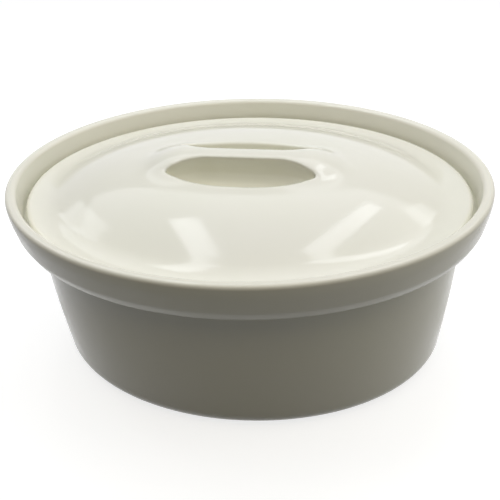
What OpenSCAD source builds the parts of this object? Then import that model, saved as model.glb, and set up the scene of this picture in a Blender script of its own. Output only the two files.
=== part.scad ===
// Oval casserole dish with a drop-in lid, in millimetres.
// The origin is on the table under the middle of the dish, with its length along X.
// Sections are drawn as inset from the lip's outermost edge against height above the table.

/* [Dish outline] */
// Length over the lip
dish_length = 280; // [250:1:340]
// Width over the lip
dish_width = 228; // [180:1:250]
// Height of the lip above the table
dish_height = 113; // [90:1:145]

/* [Collar] */
// Height of the collar, from its lower edge to the lip
collar_height = 25; // [20:0.5:32]
// How far the outside of the collar leans in from the lip to its lower edge
collar_lean = 2.6; // [0:0.1:4]
// How far the collar stands out from the body below it
collar_step = 11.6; // [8:0.1:15]
// How far the slant on the collar's lower edge cuts in
collar_slant = 3.6; // [1:0.1:6]
// Height of that slant
slant_height = 7; // [4:0.5:10]
// Rounding between the slant and the collar's side
slant_round = 12; // [4:0.5:20]
// Rounding between the slant and the collar's underside
collar_round = 5; // [3:0.5:10]
// Fillet where the underside of the collar meets the body
collar_fillet = 3; // [1:0.5:3.5]
// Width of the lip on top of the collar
lip_width = 6; // [5:0.1:8]
// Rounding of the lip's edges
lip_round = 2.6; // [1:0.1:2.9]
// Height of the lip's upright outer side, above the lean
lip_side = 6; // [5.5:0.1:9]
// Rounding of the bend between the lip's side and the lean
lip_bend = 36; // [5:1:40]

/* [Body] */
// Thickness of the body wall, measured level
wall = 6; // [4:0.5:9]
// How far the body wall leans in from the collar to the table
wall_lean = 8; // [3:0.5:16]
// How far the middle of the body wall swells out from a straight line
wall_swell = 1; // [0.2:0.1:2]
// Rounding between the body wall and the foot
base_round = 12; // [6:0.5:16]
// Fillet between the body wall and the floor, on the inside
floor_fillet = 16; // [8:0.5:24]
// Thickness of the floor, over the recess
floor_thickness = 6.5; // [4:0.5:10]
// Width of the flat foot that the dish stands on
foot_width = 7; // [4:0.5:12]
// Depth of the recess inside the foot
foot_recess = 1.5; // [1:0.1:3]
// Rounding of the foot's inner edge
foot_round = 0.5; // [0.2:0.1:1]

/* [Lid seat] */
// Depth of the ledge below the lip
ledge_depth = 16; // [13:0.5:18]
// How far the inside of the collar leans in from the lip to the ledge
collar_inner_lean = 2.2; // [0.5:0.1:4]
// Rounding of the ledge's corner and edge
ledge_round = 2; // [1:0.1:3]
// Gap all round between the lid's edge and the collar
lid_play = 1.8; // [1:0.1:3]

/* [Lid] */
// Thickness of the lid's edge
lid_edge = 6.5; // [5:0.1:9]
// Rounding of the lid's upper edge
lid_edge_round = 3; // [1:0.1:3.5]
// Rounding of the lid's lower edge
lid_foot_round = 2.4; // [1:0.1:2.8]
// Thickness of the dome
lid_wall = 6; // [4:0.5:8]
// Distance from the inner edge of the ledge to where the lid's underside starts to rise
lid_rise_inset = 4; // [2:0.5:8]
// Rounding where the lid's underside starts to rise
lid_rise_round = 12; // [4:1:16]
// Distance from the lid's edge to the bottom of the trough
trough_inset = 12; // [9:0.5:18]
// Depth of the trough below the lid's edge
trough_depth = 0.8; // [0.3:0.1:2]
// Rounding of the trough
trough_round = 32; // [10:1:36]
// Height of the dome above the lid's edge
dome_rise = 16; // [10:0.5:22]
// Where the dome's slope would meet its flat top, on the way from the trough to the crown
dome_shoulder = 0.56; // [0.52:0.01:0.62]
// Distance of the dome's level crown from the centres of the end arcs
crown_radius = 5; // [2:0.5:20]

/* [Handle] */
// Height of the grip bar above the dome
bar_rise = 7; // [4:0.5:10]
// Length of the hump that the bar is part of, where it meets the dome
hump_length = 114; // [104:1:126]
// Length of the hump's level top, before its ends are rounded
hump_top = 90; // [70:1:96]
// Rounding between the hump's top and its sloping ends
hump_shoulder = 45; // [20:1:60]
// Width of the hump, across both pockets
hump_width = 44; // [40:1:56]
// Length of each finger pocket
pocket_length = 96; // [84:1:104]
// Length of the straight middle of each finger pocket
pocket_straight = 54; // [30:1:60]
// Radius of a finger pocket's scoop
pocket_radius = 12.4; // [10:0.1:13.5]
// Rounding between the straight middle of a pocket and its ends
pocket_shoulder = 30; // [10:1:40]
// Distance of a pocket's centre line from the middle of the lid
pocket_offset = 16.6; // [15:0.1:19]
// Depth of a pocket's centre line below the dome
pocket_depth = 1.5; // [0.5:0.1:5]
// Greatest distance of a pocket's lip from the middle of the lid
lip_reach = 27.6; // [24:0.1:32]
// Radius of the arc that a pocket's lip follows
lip_arc = 94; // [70:1:120]

/* [Hidden] */
$fn = 180;
glaze_colour = "#E9E8DC";
// Greatest distance between a true arc and the chord that stands for it in a section
chord_error = 0.03;
// Greatest share of an edge that the roundings at its ends take up
edge_use = 0.98;
// Room that a cutting block has past what it cuts
spare = 10;

// Four-centre oval: its arcs meet on lines that rise 4 for every 3 along, through their centres
half_length = dish_length / 2;
half_width = dish_width / 2;
oval_unit = (half_length - half_width) / 2;
end_centre = 3 * oval_unit;
side_centre = 4 * oval_unit;
end_radius = half_length - end_centre;
side_radius = half_width + side_centre;
// How far the wedges that part the arcs reach, counted in threes along and fours across
wedge_reach = ceil(half_length / 3);
// Inset that lies past the middle of the oval everywhere
past_middle = half_width + 1;

// Dish
collar_foot_z = dish_height - collar_height;
wall_top_inset = collar_lean + collar_step;
wall_foot_inset = wall_top_inset + wall_lean;
wall_middle_inset = (wall_top_inset + wall_foot_inset) / 2 - wall_swell;
wall_middle_z = collar_foot_z / 2;
// Share of each half of the wall that the rounded bend in its middle takes up
bend_share = 0.4;
wall_curve = bend_share * wall_middle_z * wall_middle_z / wall_swell;
floor_z = foot_recess + floor_thickness;
foot_inner_inset = wall_foot_inset + base_round + foot_width;

// Lid seat
ledge_z = dish_height - ledge_depth;
ledge_outer_inset = lip_width + collar_inner_lean;
ledge_inner_inset = wall_inset(ledge_z) + wall;
lid_inset = ledge_outer_inset + lid_play;

// Lid
lid_edge_z = ledge_z + lid_edge;
trough_z = lid_edge_z - trough_depth;
dome_z = lid_edge_z + dome_rise;
dome_under_z = dome_z - lid_wall;
trough_middle_inset = lid_inset + trough_inset;
// The dome is level from here inwards
crown_inset = end_radius - crown_radius;
shoulder_inset = trough_middle_inset + dome_shoulder * (crown_inset - trough_middle_inset);
dome_slope = atan2(dome_z - trough_z, shoulder_inset - trough_middle_inset);
dome_curve = (crown_inset - shoulder_inset) / tan(dome_slope / 2);
lid_rise_start = ledge_inner_inset + lid_rise_inset;

// Handle
bar_z = dome_z + bar_rise;
// Height at which the hump and the pocket walls are rooted inside the dome
root_z = dome_z - lid_wall / 2;
pocket_z = dome_z - pocket_depth;
hump_arch_radius = (pow(hump_width / 2, 2) + bar_rise * bar_rise) / (2 * bar_rise);
// Length over which the hump's ends would taper to points
hump_run = hump_top + hump_arch_radius * (hump_length - hump_top) / bar_rise;

function unit(v) = v / norm(v);
function plane(corner) = [corner[0], corner[1]];

// The corner at a place on a closed path, counted round and round
function corner_at(corners, i) = corners[(i + len(corners)) % len(corners)];

// Edge from a corner to the next one
function edge(corners, i) = plane(corner_at(corners, i + 1)) - plane(corner_at(corners, i));

// Angle by which the path turns at a corner
function turn_at(corners, i) = acos(unit(edge(corners, i - 1)) * unit(edge(corners, i)));

// Length of edge that a corner's rounding asks for
function reach(corners, i) = corner_at(corners, i)[2] * tan(turn_at(corners, i) / 2);

// Share of the roundings at both ends of an edge that the edge has room for
function room(corners, i) = norm(edge(corners, i)) * edge_use / (reach(corners, i) + reach(corners, i + 1));

// Points of the arc that rounds a corner, smaller where an edge is too short for it
function corner_arc(corners, i) =
    let (
        r = corners[i][2] * min(1, room(corners, i - 1), room(corners, i)),
        back = -unit(edge(corners, i - 1)),
        ahead = unit(edge(corners, i)),
        turn = turn_at(corners, i),
        side = sign(cross(ahead, back)),
        centre = plane(corners[i]) + unit(back + ahead) * r / cos(turn / 2),
        from = plane(corners[i]) + back * r * tan(turn / 2) - centre,
        first = atan2(from.y, from.x),
        steps = ceil(turn / (2 * acos(1 - chord_error / r)))
    )
    [
        for (step = [0 : steps])
            let (angle = first + side * turn * step / steps)
            centre + r * [cos(angle), sin(angle)]
    ];

// Closed outline through corners given as [across, up, rounding]
function rounded(corners) =
    [
        for (i = [0 : len(corners) - 1])
            each corners[i][2] == 0 ? [plane(corners[i])] : corner_arc(corners, i)
    ];

// Inset of the body's outside at a height, before the bend in its middle is rounded
function wall_inset(z) =
    wall_middle_inset
    + (z > wall_middle_z ? wall_top_inset - wall_middle_inset : wall_middle_inset - wall_foot_inset)
    * (z - wall_middle_z) / wall_middle_z;

// Turns a section drawn by inset into one drawn by distance from an arc's centre
module from_centre(radius) {
    intersection() {
        translate([radius, 0])
            mirror([1, 0])
                children();
        translate([0, -spare])
            square([radius + spare, bar_z + 2 * spare]);
    }
}

// Upright block over an outline, taller than the whole object
module upright(outline) {
    translate([0, 0, -spare])
        linear_extrude(bar_z + 2 * spare)
            polygon(outline);
}

// Carries a section round the whole oval, as two end arcs and two side arcs
module oval_sweep() {
    along = end_centre + 3 * wedge_reach;
    across = 4 * wedge_reach;
    for (turn = [0, 180])
        rotate([0, 0, turn]) {
            intersection() {
                translate([end_centre, 0, 0])
                    rotate([0, 0, 180])
                        rotate_extrude()
                            from_centre(end_radius)
                                children();
                upright([[end_centre, 0], [along, -across], [along, across]]);
            }
            intersection() {
                translate([0, -side_centre, 0])
                    rotate([0, 0, 270])
                        rotate_extrude()
                            from_centre(side_radius)
                                children();
                upright([[-end_centre, 0], [end_centre, 0], [along, across], [-along, across]]);
            }
        }
}

// Wall, collar, ledge, floor and foot of the dish
module dish_section() {
    polygon(rounded([
        [past_middle, foot_recess, 0],
        [foot_inner_inset + foot_recess, foot_recess, foot_round],
        [foot_inner_inset, 0, foot_round],
        [wall_foot_inset, 0, base_round],
        [wall_middle_inset, wall_middle_z, wall_curve],
        [wall_top_inset, collar_foot_z, collar_fillet],
        [collar_lean + collar_slant, collar_foot_z, collar_round],
        [collar_lean, collar_foot_z + slant_height, slant_round],
        [0, dish_height - lip_side, lip_bend],
        [0, dish_height, lip_round],
        [lip_width, dish_height, lip_round],
        [ledge_outer_inset, ledge_z, ledge_round],
        [ledge_inner_inset, ledge_z, ledge_round],
        [wall_middle_inset + wall, wall_middle_z, wall_curve],
        [wall_inset(floor_z) + wall, floor_z, floor_fillet],
        [past_middle, floor_z, 0],
    ]));
}

// Edge, trough and dome of the lid
module lid_section() {
    polygon(rounded([
        [past_middle, dome_under_z, 0],
        [shoulder_inset, dome_under_z, dome_curve],
        [lid_rise_start, ledge_z, lid_rise_round],
        [lid_inset, ledge_z, lid_foot_round],
        [lid_inset, lid_edge_z, lid_edge_round],
        [trough_middle_inset, trough_z, trough_round],
        [shoulder_inset, dome_z, dome_curve],
        [past_middle, dome_z, 0],
    ]));
}

// Block that keeps what is above a height, or below it
module above(z) {
    translate([-half_length, -half_width, z])
        cube([dish_length, dish_width, dish_height]);
}

module below(z) {
    translate([-half_length, -half_width, z - dish_height])
        cube([dish_length, dish_width, dish_height]);
}

// Round bar along X with a straight middle and tapering ends
module spindle(length, straight, radius, shoulder) {
    rotate([0, 90, 0])
        rotate_extrude()
            polygon(rounded([
                [0, -length / 2, 0],
                [radius, -straight / 2, shoulder],
                [radius, straight / 2, shoulder],
                [0, length / 2, 0],
            ]));
}

// Hump with a level top along X, arched across it, whose ends slope down to the dome
module hump() {
    intersection() {
        translate([0, 0, bar_z - hump_arch_radius])
            spindle(hump_run, hump_top, hump_arch_radius, hump_shoulder);
        above(root_z);
    }
}

// Barrel whose sides are the arcs of both pockets' lips, grown by the thickness round them
module lip_barrel(grown) {
    translate([0, 0, pocket_z])
        rotate([0, 90, 0])
            rotate_extrude()
                intersection() {
                    translate([lip_reach - lip_arc, 0])
                        circle(lip_arc + grown);
                    translate([0, -half_length])
                        square([half_length, dish_length]);
                }
}

// Long scoop with tapering ends, one on each side of the bar, grown by the thickness round it
module scoops(grown) {
    intersection() {
        lip_barrel(grown);
        for (side = [-1, 1])
            translate([0, side * pocket_offset, pocket_z])
                spindle(pocket_length + 2 * grown, pocket_straight, pocket_radius + grown, pocket_shoulder);
    }
}

module dish() {
    color(glaze_colour)
        oval_sweep()
            dish_section();
}

module lid() {
    color(glaze_colour)
        difference() {
            union() {
                oval_sweep()
                    lid_section();
                hump();
                intersection() {
                    scoops(lid_wall);
                    below(root_z);
                }
            }
            scoops(0);
        }
}

dish();
lid();
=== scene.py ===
import math

import bpy
import numpy as np
from mathutils import Matrix, Quaternion, Vector


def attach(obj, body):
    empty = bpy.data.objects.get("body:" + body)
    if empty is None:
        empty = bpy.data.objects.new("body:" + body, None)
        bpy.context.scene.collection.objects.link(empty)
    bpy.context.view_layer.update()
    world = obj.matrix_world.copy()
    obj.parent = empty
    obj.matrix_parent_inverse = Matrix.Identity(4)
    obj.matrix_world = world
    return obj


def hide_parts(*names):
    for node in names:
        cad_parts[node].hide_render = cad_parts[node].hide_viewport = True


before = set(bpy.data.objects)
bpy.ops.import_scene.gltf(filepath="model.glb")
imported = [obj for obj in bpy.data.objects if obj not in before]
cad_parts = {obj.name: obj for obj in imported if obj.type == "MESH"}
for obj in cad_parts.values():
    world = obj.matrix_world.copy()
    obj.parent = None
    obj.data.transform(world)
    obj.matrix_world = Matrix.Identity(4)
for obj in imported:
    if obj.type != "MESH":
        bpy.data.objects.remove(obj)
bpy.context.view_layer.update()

# Lengths of the dish and the lid are in millimetres until a mesh is made
MM = 0.001

# Dish outline
HALF_LENGTH = 140.0
HALF_WIDTH = 114.0
DISH_HEIGHT = 113.0

# Collar
COLLAR_HEIGHT = 25.0
COLLAR_LEAN = 2.6
COLLAR_STEP = 11.6
COLLAR_SLANT = 3.6
SLANT_HEIGHT = 7.0
SLANT_ROUND = 12.0
COLLAR_ROUND = 5.0
COLLAR_FILLET = 3.0
LIP_WIDTH = 6.0
LIP_ROUND = 2.6
LIP_SIDE = 6.0
LIP_BEND = 36.0

# Body
WALL = 6.0
WALL_LEAN = 8.0
WALL_SWELL = 1.0
BASE_ROUND = 12.0
FLOOR_FILLET = 16.0
FLOOR_THICKNESS = 6.5
FOOT_WIDTH = 7.0
FOOT_RECESS = 1.5
FOOT_ROUND = 0.5
BEND_SHARE = 0.4

# Lid seat
LEDGE_DEPTH = 16.0
COLLAR_INNER_LEAN = 2.2
LEDGE_ROUND = 2.0
LID_PLAY = 1.8

# Lid
LID_EDGE = 6.5
LID_EDGE_ROUND = 3.0
LID_FOOT_ROUND = 2.4
LID_WALL = 6.0
LID_RISE_INSET = 4.0
LID_RISE_ROUND = 12.0
TROUGH_INSET = 12.0
TROUGH_DEPTH = 0.8
TROUGH_ROUND = 32.0
DOME_RISE = 16.0
DOME_SHOULDER = 0.56
CROWN_INSET = 92.0

# Handle
BAR_RISE = 7.0
HUMP_LENGTH = 114.0
HUMP_TOP = 90.0
HUMP_SHOULDER = 45.0
HUMP_WIDTH = 44.0
POCKET_LENGTH = 96.0
POCKET_STRAIGHT = 54.0
POCKET_RADIUS = 12.4
POCKET_SHOULDER = 30.0
POCKET_OFFSET = 16.6
POCKET_DEPTH = 1.5
LIP_REACH = 27.6
LIP_ARC = 94.0
TIP_REACH = 45.0

# Softness of the joins that the clay and the glaze round off
HUMP_BLEND = 6.0
POCKET_EDGE = 4.6
SHELL_BLEND = 2.5
LIP_BLEND = 5.0
TIP_BLEND = 9.0

# Section mesh: the share of an edge that its roundings may use, and the steps along and round it
EDGE_USE = 0.98
LINE_STEP = 4.5
ARC_ERROR = 0.006
ARC_LEAST_STEPS = 3
FLAT_START = 2.0
RING_STEPS = 288
FLOOR_RINGS = 14

# Lid mesh: the grid over its distance field, and the rounds and steps that settle the skin on it
LID_CELL = 1.15
GRID_BEFORE, GRID_PAST = 2.3, 2.5
GRID_PARTS = 12
ELLIPSE_ROUNDS = 9
FIRST_ROUNDS, LAST_ROUNDS = 3, 2
SLOPE_STEP, LEAST_SLOPE = 0.02, 0.2
EVEN_ROUNDS, EVEN_SHARE = 6, 0.6
BEND_ROUNDS, BEND_STEP = 8, 0.8
TINY = 1e-9

collar_foot_z = DISH_HEIGHT - COLLAR_HEIGHT
wall_top_inset = COLLAR_LEAN + COLLAR_STEP
wall_foot_inset = wall_top_inset + WALL_LEAN
wall_middle_inset = (wall_top_inset + wall_foot_inset) / 2 - WALL_SWELL
wall_middle_z = collar_foot_z / 2
wall_curve = BEND_SHARE * wall_middle_z ** 2 / WALL_SWELL


def wall_inset(z):
    """Inset of the body's outside at a height, before the bend in its middle is rounded."""
    if z > wall_middle_z:
        lean = wall_top_inset - wall_middle_inset
    else:
        lean = wall_middle_inset - wall_foot_inset
    return wall_middle_inset + lean * (z - wall_middle_z) / wall_middle_z


floor_z = FOOT_RECESS + FLOOR_THICKNESS
floor_inset = wall_inset(floor_z) + WALL
foot_inner_inset = wall_foot_inset + BASE_ROUND + FOOT_WIDTH
ledge_z = DISH_HEIGHT - LEDGE_DEPTH
ledge_outer_inset = LIP_WIDTH + COLLAR_INNER_LEAN
ledge_inner_inset = wall_inset(ledge_z) + WALL
lid_inset = ledge_outer_inset + LID_PLAY
lid_edge_z = ledge_z + LID_EDGE
trough_z = lid_edge_z - TROUGH_DEPTH
dome_z = lid_edge_z + DOME_RISE
dome_under_z = dome_z - LID_WALL
trough_middle_inset = lid_inset + TROUGH_INSET
shoulder_inset = trough_middle_inset + DOME_SHOULDER * (CROWN_INSET - trough_middle_inset)
dome_slope = math.atan2(dome_z - trough_z, shoulder_inset - trough_middle_inset)
dome_curve = (CROWN_INSET - shoulder_inset) / math.tan(dome_slope / 2)
bar_z = dome_z + BAR_RISE
root_z = dome_z - LID_WALL / 2
pocket_z = dome_z - POCKET_DEPTH
hump_arch = ((HUMP_WIDTH / 2) ** 2 + BAR_RISE ** 2) / (2 * BAR_RISE)
hump_run = HUMP_TOP + hump_arch * (HUMP_LENGTH - HUMP_TOP) / BAR_RISE
past_middle = HALF_WIDTH + 1


def rounded_path(corners):
    """Lines and arcs of an open path through corners given as [across, up, rounding]."""
    at = np.array([c[:2] for c in corners], float)
    ask = np.array([c[2] for c in corners], float)
    edge = np.diff(at, axis=0)
    length = np.linalg.norm(edge, axis=1)
    along = edge / length[:, None]
    turn = np.zeros(len(at))
    turn[1:-1] = np.arccos(np.clip((along[:-1] * along[1:]).sum(1), -1, 1))
    reach = ask * np.tan(turn / 2)
    room = EDGE_USE * length / np.maximum(reach[:-1] + reach[1:], TINY)
    parts, start = [], at[0]
    for i in range(1, len(at) - 1):
        r = ask[i] * min(1.0, room[i - 1], room[i])
        if r == 0:
            parts.append(("line", start, at[i]))
            start = at[i]
            continue
        cut = r * math.tan(turn[i] / 2)
        first, last = at[i] - along[i - 1] * cut, at[i] + along[i] * cut
        way = along[i] - along[i - 1]
        centre = at[i] + way / np.linalg.norm(way) * r / math.cos(turn[i] / 2)
        side = np.sign(along[i - 1][0] * along[i][1] - along[i - 1][1] * along[i][0])
        parts.append(("line", start, first))
        parts.append(("arc", centre, r, math.atan2(*(first - centre)[::-1]), side * turn[i]))
        start = last
    parts.append(("line", start, at[-1]))
    return parts


def path_points(parts):
    """Points along a path, with how sharply it is rounded outwards at each, per millimetre."""
    points, bends = [], []
    for part in parts:
        if part[0] == "line":
            _, start, end = part
            steps = max(1, math.ceil(np.linalg.norm(end - start) / LINE_STEP))
            for t in np.linspace(0, 1, steps + 1)[:-1]:
                points.append(start + (end - start) * t)
                bends.append(0.0)
        else:
            _, centre, r, first, sweep = part
            chords = math.ceil(abs(sweep) / (2 * math.acos(1 - ARC_ERROR / r)))
            steps = max(ARC_LEAST_STEPS, chords, math.ceil(r * abs(sweep) / LINE_STEP))
            for t in np.linspace(0, 1, steps + 1)[:-1]:
                angle = first + sweep * t
                points.append(centre + r * np.array([math.cos(angle), math.sin(angle)]))
                bends.append(-np.sign(sweep) / r)
    points.append(parts[-1][2])
    bends.append(0.0)
    return np.array(points), np.array(bends)


def path_distance(parts, p):
    """Distance of points from a path that has its inside on the right, below zero inside."""
    best = np.full(len(p), np.inf)
    for part in parts:
        if part[0] == "line":
            _, a, b = part
            u = (b - a) / np.linalg.norm(b - a)
            q = p - a
            t = q @ u
            value = u[0] * q[:, 1] - u[1] * q[:, 0]
            valid = (t >= 0) & (t <= np.linalg.norm(b - a))
        else:
            _, centre, r, first, sweep = part
            q = p - centre
            away = np.hypot(q[:, 0], q[:, 1])
            value = (away - r) * -np.sign(sweep)
            angle = np.arctan2(q[:, 1], q[:, 0]) - first
            middle = (angle - sweep / 2 + np.pi) % (2 * np.pi) - np.pi
            valid = np.abs(middle) <= abs(sweep) / 2
        closer = valid & (np.abs(value) < np.abs(best))
        best[closer] = value[closer]
    return best


dish_path = rounded_path([
    [foot_inner_inset + FOOT_RECESS + FLAT_START, FOOT_RECESS, 0],
    [foot_inner_inset + FOOT_RECESS, FOOT_RECESS, FOOT_ROUND],
    [foot_inner_inset, 0, FOOT_ROUND],
    [wall_foot_inset, 0, BASE_ROUND],
    [wall_middle_inset, wall_middle_z, wall_curve],
    [wall_top_inset, collar_foot_z, COLLAR_FILLET],
    [COLLAR_LEAN + COLLAR_SLANT, collar_foot_z, COLLAR_ROUND],
    [COLLAR_LEAN, collar_foot_z + SLANT_HEIGHT, SLANT_ROUND],
    [0, DISH_HEIGHT - LIP_SIDE, LIP_BEND],
    [0, DISH_HEIGHT, LIP_ROUND],
    [LIP_WIDTH, DISH_HEIGHT, LIP_ROUND],
    [ledge_outer_inset, ledge_z, LEDGE_ROUND],
    [ledge_inner_inset, ledge_z, LEDGE_ROUND],
    [wall_middle_inset + WALL, wall_middle_z, wall_curve],
    [floor_inset, floor_z, FLOOR_FILLET],
    [floor_inset + FLOOR_FILLET + FLAT_START, floor_z, 0],
])
lid_path = rounded_path([
    [past_middle, dome_under_z, 0],
    [shoulder_inset, dome_under_z, dome_curve],
    [ledge_inner_inset + LID_RISE_INSET, ledge_z, LID_RISE_ROUND],
    [lid_inset, ledge_z, LID_FOOT_ROUND],
    [lid_inset, lid_edge_z, LID_EDGE_ROUND],
    [trough_middle_inset, trough_z, TROUGH_ROUND],
    [shoulder_inset, dome_z, dome_curve],
    [past_middle, dome_z, 0],
])


def ellipse_inset(x, y):
    """Distance of points inside the lip's outermost ellipse from that ellipse, below zero outside."""
    a, b = HALF_LENGTH, HALF_WIDTH
    px, py = np.abs(x), np.abs(y)
    tx = np.full(px.shape, math.sqrt(0.5))
    ty = tx.copy()
    for _ in range(ELLIPSE_ROUNDS):
        ex = (a * a - b * b) * tx ** 3 / a
        ey = (b * b - a * a) * ty ** 3 / b
        r = np.hypot(a * tx - ex, b * ty - ey)
        q = np.maximum(np.hypot(px - ex, py - ey), TINY)
        tx = np.clip(((px - ex) * r / q + ex) / a, 0, 1)
        ty = np.clip(((py - ey) * r / q + ey) / b, 0, 1)
        t = np.hypot(tx, ty)
        tx, ty = tx / t, ty / t
    gap = np.hypot(px - a * tx, py - b * ty)
    return np.where((px / a) ** 2 + (py / b) ** 2 < 1, gap, -gap)


def soft_min(a, b, k):
    """Lesser of two distances, blended where they differ by less than k."""
    h = np.maximum(k - np.abs(a - b), 0) / k
    return np.minimum(a, b) - h ** 3 * k / 6


def soft_max(a, b, k):
    """Greater of two distances, blended where they differ by less than k."""
    return -soft_min(-a, -b, k)


def spindle(along, away, length, straight, radius, shoulder):
    """Distance from a round bar with a straight middle and tapering ends, below zero inside it."""
    turn = math.atan2(radius, (length - straight) / 2)
    dx = along - straight / 2 + shoulder * math.tan(turn / 2)
    dr = away - radius + shoulder
    angle = np.arctan2(dx, dr)
    cone = (along - length / 2) * math.sin(turn) + away * math.cos(turn)
    end = np.where(angle < turn, np.hypot(dx, dr) - shoulder, cone)
    return np.where(angle <= 0, away - radius, end)


def pocket_distance(x, y, z):
    """Distance from the nearer finger scoop, below zero inside it."""
    away = np.hypot(np.abs(y) - POCKET_OFFSET, z - pocket_z)
    scoop = spindle(np.abs(x), away, POCKET_LENGTH, POCKET_STRAIGHT, POCKET_RADIUS, POCKET_SHOULDER)
    blunt = soft_max(scoop, np.abs(x) - TIP_REACH, TIP_BLEND)
    lips = np.hypot(np.hypot(y, z - pocket_z) - (LIP_REACH - LIP_ARC), x) - LIP_ARC
    return soft_max(blunt, lips, LIP_BLEND)


def lid_distance(p):
    """Distance of points from the lid's skin, below zero inside it."""
    x, y, z = p.T
    plate = path_distance(lid_path, np.stack([ellipse_inset(x, y), z], 1))
    from_axis = np.hypot(y, z - bar_z + hump_arch)
    arch = spindle(np.abs(x), from_axis, hump_run, HUMP_TOP, hump_arch, HUMP_SHOULDER)
    hump = np.maximum(arch, root_z - z)
    scoop = pocket_distance(x, y, z)
    shell = np.maximum(scoop - LID_WALL, z - root_z)
    clay = soft_min(soft_min(plate, hump, HUMP_BLEND), shell, SHELL_BLEND)
    return soft_max(clay, -scoop, POCKET_EDGE)


def slope(field, p):
    """Gradient of a distance field."""
    g = np.empty_like(p)
    for axis, step in enumerate(SLOPE_STEP * np.eye(3)):
        g[:, axis] = (field(p + step) - field(p - step)) / (2 * SLOPE_STEP)
    return g


def on_skin(field, p, rounds):
    """Points moved on to a field's zero level."""
    for _ in range(rounds):
        g = slope(field, p)
        p = p - g * (field(p) / np.maximum((g * g).sum(1), LEAST_SLOPE))[:, None]
    return p


def skin_of(field, low, high, cell):
    """Quads over a field's zero level, one corner in each cell that the skin passes through."""
    counts = np.ceil((high - low) / cell).astype(int) + 1
    axes = [low[a] + cell * np.arange(counts[a]) for a in range(3)]
    grid = np.stack(np.meshgrid(*axes, indexing="ij"), -1).reshape(-1, 3)
    parts = np.array_split(grid, GRID_PARTS)
    value = np.concatenate([field(part) for part in parts]).reshape(counts)
    inside = value < 0
    ends = [slice(None, -1), slice(1, None)]
    corners = [inside[i, j, k] for i in ends for j in ends for k in ends]
    filled = sum(corner.astype(int) for corner in corners)
    crossed = (filled > 0) & (filled < len(corners))
    number = np.full(crossed.shape, -1)
    number[crossed] = np.arange(crossed.sum())
    base = np.argwhere(crossed)
    unit = np.eye(3, dtype=int)

    # Each cell's corner is the mean of the points where the cell's edges meet the skin
    total, hits = np.zeros(base.shape), np.zeros(len(base))
    for axis in range(3):
        u, v = unit[(axis + 1) % 3], unit[(axis + 2) % 3]
        for off in (0 * u, u, v, u + v):
            a = base + off
            b = a + unit[axis]
            fa, fb = value[tuple(a.T)], value[tuple(b.T)]
            cut = (fa < 0) != (fb < 0)
            t = np.where(cut, fa / np.where(cut, fa - fb, 1), 0)
            total += np.where(cut[:, None], off + t[:, None] * unit[axis], 0)
            hits += cut
    points = low + cell * (base + total / hits[:, None])

    # Each grid edge that the skin crosses is ringed by four cells, which make one quad
    quads = []
    for axis in range(3):
        u, v = unit[(axis + 1) % 3], unit[(axis + 2) % 3]
        here = np.moveaxis(inside, axis, 0)
        change = np.moveaxis(here[:-1] != here[1:], 0, axis)
        at = np.argwhere(change)
        quad = np.stack([number[tuple((at - o).T)] for o in (u + v, v, 0 * u, u)], 1)
        out = ~inside[tuple(at.T)]
        quad[out] = quad[out][:, ::-1]
        quads.append(quad)
    return points, np.concatenate(quads)


def neighbour_mean(quads, values):
    """Mean of the values at the corners that share an edge with each corner."""
    a = quads.ravel()
    b = np.roll(quads, -1, axis=1).ravel()
    n = len(values)
    total = np.zeros(values.shape)
    for axis in range(values.shape[1]):
        total[:, axis] = np.bincount(a, values[b, axis], n) + np.bincount(b, values[a, axis], n)
    return total / (np.bincount(a, minlength=n) + np.bincount(b, minlength=n))[:, None]


def evened(field, points, quads):
    """Points of more even quads, each moved towards its neighbours and back on to the skin."""
    for _ in range(EVEN_ROUNDS):
        points = on_skin(field, points + EVEN_SHARE * (neighbour_mean(quads, points) - points), 1)
    return points


def skin_bend(field, points, quads):
    """How sharply the skin is rounded outwards, from how the field spreads about each point."""
    steps = BEND_STEP * np.vstack([np.eye(3), -np.eye(3)])
    around = sum(field(points + step) for step in steps)
    bend = (around - len(steps) * field(points))[:, None] / BEND_STEP ** 2
    for _ in range(BEND_ROUNDS):
        bend = neighbour_mean(quads, bend)
    return bend[:, 0]


def swept_oval(path):
    """Points, faces and bends of a section carried round the oval and closed in the middle at both ends."""
    section, bend = path_points(path)
    t = np.arange(RING_STEPS) * 2 * np.pi / RING_STEPS
    edge = np.stack([HALF_LENGTH * np.cos(t), HALF_WIDTH * np.sin(t)], 1)
    out = np.stack([np.cos(t) / HALF_LENGTH, np.sin(t) / HALF_WIDTH], 1)
    out /= np.linalg.norm(out, axis=1)[:, None]
    rings, bends = [], []

    def add_ring(xy, z, b):
        rings.append(np.column_stack([xy, np.full(len(xy), z)]))
        bends.append(np.full(len(xy), b))

    shrink = np.linspace(0, 1, FLOOR_RINGS + 1)[1:-1]
    (first_inset, first_z), (last_inset, last_z) = section[0], section[-1]
    for s in shrink:
        add_ring((edge - out * first_inset) * s, first_z, 0)
    for (inset, z), b in zip(section, bend):
        add_ring(edge - out * inset, z, b)
    for s in shrink[::-1]:
        add_ring((edge - out * last_inset) * s, last_z, 0)
    points = np.vstack(rings + [[0, 0, first_z], [0, 0, last_z]])
    under, over = len(points) - 2, len(points) - 1

    n, count = RING_STEPS, len(rings)
    i, j = np.meshgrid(np.arange(count - 1), np.arange(n), indexing="ij")
    k = (j + 1) % n
    quads = np.stack([i * n + j, i * n + k, (i + 1) * n + k, (i + 1) * n + j], -1).reshape(-1, 4)
    top = (count - 1) * n
    faces = quads.tolist()
    faces += [[under, (s + 1) % n, s] for s in range(n)]
    faces += [[over, top + s, top + (s + 1) % n] for s in range(n)]
    return points, faces, np.append(np.concatenate(bends), [0, 0])


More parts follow.
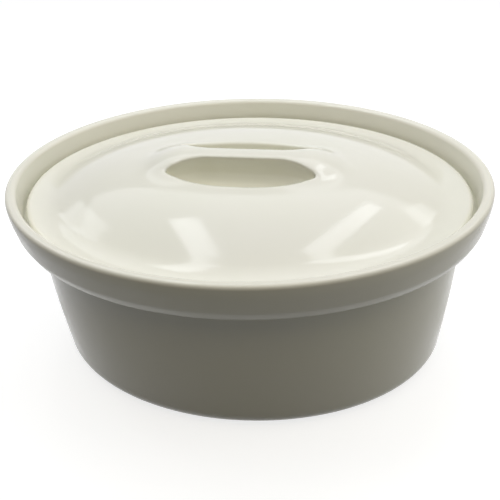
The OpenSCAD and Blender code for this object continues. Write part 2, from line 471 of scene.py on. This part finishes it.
def new_piece(name, points, faces, bend, body, node, normals=None):
    """Mesh object that stands for a CAD node and rides on its body."""
    mesh = bpy.data.meshes.new(name)
    mesh.from_pydata((points * MM).tolist(), [], faces)
    mesh.update()
    mesh.polygons.foreach_set("use_smooth", np.ones(len(mesh.polygons), bool))
    stored = mesh.attributes.new("glaze_bend", "FLOAT", "POINT")
    stored.data.foreach_set("value", bend.astype(np.float32))
    if normals is not None:
        mesh.normals_split_custom_set_from_vertices(normals.tolist())
    piece = bpy.data.objects.new(name, mesh)
    bpy.context.scene.collection.objects.link(piece)
    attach(piece, body)
    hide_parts(node)
    return piece


def dish_piece():
    """Dish as its section carried round the oval."""
    points, faces, bend = swept_oval(dish_path)
    return new_piece("dish_glazed", points, faces, bend, "dish", "dish")


def lid_piece():
    """Lid as the skin of its distance field, with the field's own slopes as normals."""
    half = np.array([HALF_LENGTH - lid_inset, HALF_WIDTH - lid_inset])
    low = np.append(-half - GRID_BEFORE, ledge_z - GRID_BEFORE)
    high = np.append(half + GRID_PAST, bar_z + GRID_PAST)
    points, quads = skin_of(lid_distance, low, high, LID_CELL)
    points = evened(lid_distance, on_skin(lid_distance, points, FIRST_ROUNDS), quads)
    points = on_skin(lid_distance, points, LAST_ROUNDS)
    normals = slope(lid_distance, points)
    normals /= np.linalg.norm(normals, axis=1)[:, None]
    bend = skin_bend(lid_distance, points, quads)
    return new_piece("lid_glazed", points, quads.tolist(), bend, "lid", "lid", normals)


def fill(tree, socket, value):
    """Links a socket to another node's output, or sets it to a plain value."""
    if isinstance(value, bpy.types.NodeSocket):
        tree.links.new(value, socket)
    else:
        socket.default_value = value


def add_node(tree, kind, inputs=None, **settings):
    """New node with its settings, and then its inputs by name or number."""
    made = tree.nodes.new(kind)
    for key, value in settings.items():
        setattr(made, key, value)
    for key, value in (inputs or {}).items():
        fill(tree, made.inputs[key], value)
    return made


def maths(tree, operation, a, b):
    """Sum, product or the like of two numbers."""
    return add_node(tree, "ShaderNodeMath", {0: a, 1: b}, operation=operation).outputs["Value"]


def ramp(tree, source, low, high, first=0.0, last=1.0):
    """Smooth change from first to last as a source goes from low to high."""
    ends = {"Value": source, "From Min": low, "From Max": high, "To Min": first, "To Max": last}
    return add_node(tree, "ShaderNodeMapRange", ends, interpolation_type="SMOOTHSTEP").outputs["Result"]


def mixed_colour(tree, share, first, second):
    """Colour between two others."""
    made = add_node(tree, "ShaderNodeMix", data_type="RGBA")
    sockets = [socket for socket in made.inputs if socket.enabled]
    for socket, value in zip(sockets, (share, first, second)):
        fill(tree, socket, value)
    return next(socket for socket in made.outputs if socket.enabled)


def mixed_shader(tree, share, first, second):
    """Shader between two others."""
    return add_node(tree, "ShaderNodeMixShader", {0: share, 1: first, 2: second}).outputs["Shader"]


# Colours of the glaze and the clay
IVORY = (0.84, 0.825, 0.735, 1)
CLOUD = (0.825, 0.815, 0.712, 1)
THIN = (0.855, 0.825, 0.72, 1)
POOLED = (0.81, 0.81, 0.70, 1)
IRON = (0.45, 0.37, 0.26, 1)
CLAY_DARK = (0.66, 0.60, 0.50, 1)
CLAY_PALE = (0.76, 0.71, 0.61, 1)

# Noise patterns: counts in a metre, levels of finer detail, and the shift that sets them apart
CLOUDING = (14, 3, 1.0)
DULLING = (45, 2, 3.0)
WAVES = (38, 2, 5.0)
PEEL = (420, 1, 7.0)
GLAZE_LINE = (90, 2, 9.0)
GRAIN = (900, 4, 11.0)
SHIFT_Y, SHIFT_Z = 2.1, 0.7

# Levels of a pattern over which the clouding and the dulling set in
CLOUD_LEVELS = (0.35, 0.68)
DULL_LEVELS = (0.3, 0.7)

# Gloss: the roughness where the glaze is smoothest, and how many times that where it is dullest
GLAZE_IOR = 1.47
DISH_DULL, LID_DULL = 0.14, 0.065
DULL_RANGE = 1.8

# Bends, per millimetre, over which the glaze thins outwards and pools inwards
THIN_BEND = (0.08, 0.55)
POOLED_BEND = (0.03, 0.5)
TINT_SHARE = 0.8

# Specks: cells in a metre, how few hold one, its radius in cells, how sharp it is and how far it shows
SPECK_SCALE = 70
SPECK_FEW = 0.955
SPECK_SIZE = 0.03
SPECK_SHARP = 60.0
SPECK_SHOW = 0.45

# Relief in metres, and the shares in it of the fine peel and the bare clay's grain
RELIEF = 0.00006
PEEL_SHARE, GRAIN_SHARE = 0.05, 1.2

# Heights in metres over which the glaze begins, how far they wander, and how much rougher bare clay is
BARE_LINE = (0.0008, 0.0012)
LINE_WANDER = 0.0008
BARE_DULL = 0.62


def glaze(name, seed, dull, bare_foot):
    """Ivory gloss glaze on pale clay, with its clouding, thin and pooled places, specks and waviness."""
    material = bpy.data.materials.new(name)
    material.use_nodes = True
    tree = material.node_tree
    place = add_node(tree, "ShaderNodeTexCoord").outputs["Object"]

    def noise(scale, detail, shift):
        """Noise pattern, unlike that of the other pieces and of the other patterns."""
        start = (shift + seed, SHIFT_Y * shift, SHIFT_Z * shift)
        moved = add_node(tree, "ShaderNodeMapping", {"Vector": place, "Location": start})
        inputs = {"Vector": moved.outputs["Vector"], "Scale": scale, "Detail": detail}
        return add_node(tree, "ShaderNodeTexNoise", inputs).outputs["Fac"]

    # Clouding, and the tints where the glaze is thin on a bend or pooled in a hollow
    bend = add_node(tree, "ShaderNodeAttribute", attribute_name="glaze_bend").outputs["Fac"]
    hollow = maths(tree, "MULTIPLY", bend, -1.0)
    cloudy = ramp(tree, noise(*CLOUDING), *CLOUD_LEVELS)
    colour = mixed_colour(tree, cloudy, IVORY, CLOUD)
    colour = mixed_colour(tree, ramp(tree, bend, *THIN_BEND, 0, TINT_SHARE), colour, THIN)
    colour = mixed_colour(tree, ramp(tree, hollow, *POOLED_BEND, 0, TINT_SHARE), colour, POOLED)

    # A few small specks of iron in the clay, seen through the glaze
    spots = add_node(tree, "ShaderNodeTexVoronoi", {"Vector": place, "Scale": SPECK_SCALE})
    pick = add_node(tree, "ShaderNodeSeparateColor", {"Color": spots.outputs["Color"]})
    size = ramp(tree, pick.outputs["Red"], SPECK_FEW, 1, 0, SPECK_SIZE)
    depth = maths(tree, "SUBTRACT", size, spots.outputs["Distance"])
    speck = ramp(tree, maths(tree, "MULTIPLY", depth, SPECK_SHARP), 0, 1, 0, SPECK_SHOW)
    colour = mixed_colour(tree, speck, colour, IRON)

    # Gloss that varies a little, and a slight waviness with a fine peel on it
    rough = ramp(tree, noise(*DULLING), *DULL_LEVELS, dull, DULL_RANGE * dull)
    peel = maths(tree, "MULTIPLY", noise(*PEEL), PEEL_SHARE)
    height = maths(tree, "ADD", noise(*WAVES), peel)

    if bare_foot:
        # Clay left bare where the foot stands, with a slightly uneven edge to the glaze
        above = add_node(tree, "ShaderNodeSeparateXYZ", {"Vector": place}).outputs["Z"]
        wander = maths(tree, "MULTIPLY", noise(*GLAZE_LINE), LINE_WANDER)
        bare = ramp(tree, maths(tree, "ADD", above, wander), *BARE_LINE, 1, 0)
        grain = noise(*GRAIN)
        colour = mixed_colour(tree, bare, colour, mixed_colour(tree, grain, CLAY_DARK, CLAY_PALE))
        rough = maths(tree, "ADD", rough, maths(tree, "MULTIPLY", bare, BARE_DULL))
        pitted = maths(tree, "MULTIPLY", maths(tree, "MULTIPLY", grain, bare), GRAIN_SHARE)
        height = maths(tree, "ADD", height, pitted)

    bump = add_node(tree, "ShaderNodeBump", {"Strength": 1.0, "Distance": RELIEF, "Height": height})
    shader = tree.nodes["Principled BSDF"]
    fill(tree, shader.inputs["Base Color"], colour)
    fill(tree, shader.inputs["Roughness"], rough)
    fill(tree, shader.inputs["IOR"], GLAZE_IOR)
    fill(tree, shader.inputs["Normal"], bump.outputs["Normal"])
    return material


dish_piece().data.materials.append(glaze("dish_glaze", seed=0.0, dull=DISH_DULL, bare_foot=True))
lid_piece().data.materials.append(glaze("lid_glaze", seed=4.0, dull=LID_DULL, bare_foot=False))

# Surroundings: white where they are seen, and the dim light that the floor and the world give the object
SEEN_WHITE = 1.0
PLAIN_WHITE = (1, 1, 1, 1)
THROWN_BACK = (0.22, 0.22, 0.2046, 1)
AMBIENT = 0.01
AMBIENT_TINT = (1.0, 0.97, 0.90, 1)

# Floor near the object, in metres: its glow, the part that keeps the shadow, and where it fades to white
FLOOR_GLOW = 0.77
SHADOW_CATCH = (0.45, 0.45, 0.45, 1)
FADE_FROM, FADE_TO = 0.3, 1.0
FLOOR_HALF = 6.0
SQUARE = ((-1, -1), (1, -1), (1, 1), (-1, 1))


def seen_directly(tree):
    """One for rays from the camera, from a gloss or through glass."""
    rays = add_node(tree, "ShaderNodeLightPath").outputs
    seen = maths(tree, "MAXIMUM", rays["Is Camera Ray"], rays["Is Glossy Ray"])
    return maths(tree, "MAXIMUM", seen, rays["Is Transmission Ray"])


def floor_material():
    """Pale floor that keeps the object's shadow and fades to white further out."""
    material = bpy.data.materials.new("pale_floor")
    material.use_nodes = True
    tree = material.node_tree
    tree.nodes.remove(tree.nodes["Principled BSDF"])
    thrown = add_node(tree, "ShaderNodeBsdfDiffuse", {"Color": THROWN_BACK}).outputs["BSDF"]
    lit = add_node(tree, "ShaderNodeBsdfDiffuse", {"Color": SHADOW_CATCH}).outputs["BSDF"]
    glow = add_node(tree, "ShaderNodeEmission", {"Strength": FLOOR_GLOW}).outputs["Emission"]
    near = add_node(tree, "ShaderNodeAddShader", {0: lit, 1: glow}).outputs["Shader"]
    far = add_node(tree, "ShaderNodeEmission", {"Strength": SEEN_WHITE}).outputs["Emission"]
    place = add_node(tree, "ShaderNodeTexCoord").outputs["Object"]
    away = add_node(tree, "ShaderNodeVectorMath", {0: place}, operation="LENGTH").outputs["Value"]
    shown = mixed_shader(tree, ramp(tree, away, FADE_FROM, FADE_TO), near, far)
    whole = mixed_shader(tree, seen_directly(tree), thrown, shown)
    fill(tree, tree.nodes["Material Output"].inputs["Surface"], whole)
    return material


def studio_world():
    """World that is white where it is seen and dim where it only lights."""
    world = bpy.data.worlds.new("studio")
    world.use_nodes = True
    tree = world.node_tree
    white = tree.nodes["Background"]
    fill(tree, white.inputs["Color"], PLAIN_WHITE)
    fill(tree, white.inputs["Strength"], SEEN_WHITE)
    dim = add_node(tree, "ShaderNodeBackground", {"Color": AMBIENT_TINT, "Strength": AMBIENT})
    seen = seen_directly(tree)
    whole = mixed_shader(tree, seen, dim.outputs["Background"], white.outputs["Background"])
    fill(tree, tree.nodes["World Output"].inputs["Surface"], whole)
    return world


floor_mesh = bpy.data.meshes.new("floor")
floor_mesh.from_pydata([(FLOOR_HALF * x, FLOOR_HALF * y, 0) for x, y in SQUARE], [], [(0, 1, 2, 3)])
floor_mesh.materials.append(floor_material())
floor = bpy.data.objects.new("floor", floor_mesh)
bpy.context.scene.collection.objects.link(floor)
bpy.context.scene.world = studio_world()

# Lamps, in metres: a broad panel, strips above it that the lid mirrors as windows, and two dim fills
WHITE, WARM, CREAM = (0.975, 1.0, 1.055), (1.0, 0.955, 0.83), (1.0, 0.885, 0.57)
PANEL_Z, STRIP_Z = 0.85, 1.1
FILL_AIM = (0, 0, 0.09)


def softbox(name, at, aim, size, radiance, colour, turn=0):
    """Area lamp that faces a point, as bright as its radiance says."""
    lamp = bpy.data.lights.new(name, "AREA")
    lamp.shape = "RECTANGLE"
    lamp.size, lamp.size_y = size
    lamp.energy = radiance * math.pi * size[0] * size[1]
    lamp.color = colour
    made = bpy.data.objects.new(name, lamp)
    made.location = at
    made.rotation_mode = "QUATERNION"
    facing = (Vector(at) - Vector(aim)).to_track_quat("Z", "Y")
    made.rotation_quaternion = facing @ Quaternion((0, 0, 1), math.radians(turn))
    bpy.context.scene.collection.objects.link(made)


def facing_down(name, x, y, z, size, radiance, turn=0):
    """White softbox over the object that faces straight down."""
    softbox(name, (x, y, z), (x, y, 0), size, radiance, WHITE, turn)


facing_down("overhead", 0, 0.30, PANEL_Z, (1.8, 1.05), 1.36)
facing_down("left_strip", -0.325, 0.32, STRIP_Z, (0.13, 0.50), 3.6, turn=17.4)
facing_down("right_strip", 0.31, 0.50, STRIP_Z, (0.13, 0.73), 3.1, turn=-17.4)
facing_down("left_glint", -0.35, -0.02, STRIP_Z, (0.2, 0.15), 3.8)
facing_down("far_left_strip", -1.24, 0.80, STRIP_Z, (0.24, 1.0), 1.6, turn=38)
facing_down("far_right_strip", 0.90, 1.12, STRIP_Z, (0.22, 0.55), 1.6, turn=-30)
softbox("right_fill", (0.836, 0, 0.424), FILL_AIM, (0.6, 0.6), 1.2, WARM)
softbox("front_fill", (0, -0.53, 1.054), FILL_AIM, (1.0, 0.5), 1.2, CREAM)

# Camera at the photograph's view
LOOK_AT = Vector((0, 0, 0.042))
DISTANCE = 0.50312
ELEVATION = math.radians(34.2964)
AZIMUTH = math.radians(10.5267)
ROLL = math.radians(-2.912)
FOCAL_PX, FRAME_PX, SHIFT_PX = 800.0, 500.0, 24.23
SENSOR_MM = 36.0
CLIP_START = 0.01

camera_data = bpy.data.cameras.new("camera")
camera_data.sensor_width = SENSOR_MM
camera_data.lens = SENSOR_MM * FOCAL_PX / FRAME_PX
camera_data.shift_y = SHIFT_PX / FRAME_PX
camera_data.clip_start = CLIP_START
camera = bpy.data.objects.new("camera", camera_data)
bpy.context.scene.collection.objects.link(camera)
right = Vector((math.cos(AZIMUTH), math.sin(AZIMUTH), 0))
level = Vector((-math.sin(AZIMUTH), math.cos(AZIMUTH), 0))
ahead = level * math.cos(ELEVATION) - Vector((0, 0, math.sin(ELEVATION)))
up = right.cross(ahead)
across = right * math.cos(ROLL) + up * math.sin(ROLL)
upward = up * math.cos(ROLL) - right * math.sin(ROLL)
turned = Matrix((across, upward, -ahead)).transposed().to_4x4()
camera.matrix_world = Matrix.Translation(LOOK_AT - ahead * DISTANCE) @ turned
bpy.context.scene.camera = camera

bpy.context.scene.view_settings.view_transform = "Standard"
